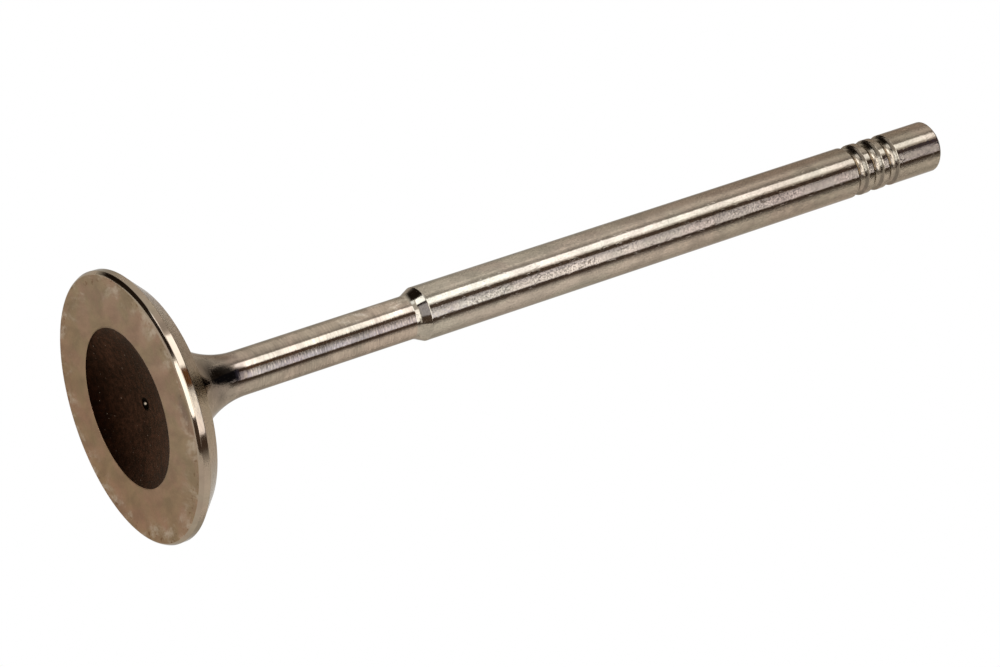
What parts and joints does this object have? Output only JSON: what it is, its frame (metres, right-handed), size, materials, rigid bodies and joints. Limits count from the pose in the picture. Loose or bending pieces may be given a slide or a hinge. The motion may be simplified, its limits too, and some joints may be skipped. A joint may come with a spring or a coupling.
{
  "type": "engine valve",
  "caption": "Poppet valve of an engine, with a dished head, a ground seat, a relieved neck and keeper grooves near the tip of its stem.",
  "frame": {"origin": "centre of the flat face of the head, on the stem's axis", "axes": "+Z runs from the head's face up the stem to the tip, and +X and +Y lie in the plane of the face"},
  "size_m": [0.0292, 0.0292, 0.107],
  "materials": {
    "valve_steel": "ground steel, with a dark as-forged dish in the face"
  },
  "bodies": {
    "root": {"valve": "valve_steel"}
  },
  "joints": []
}
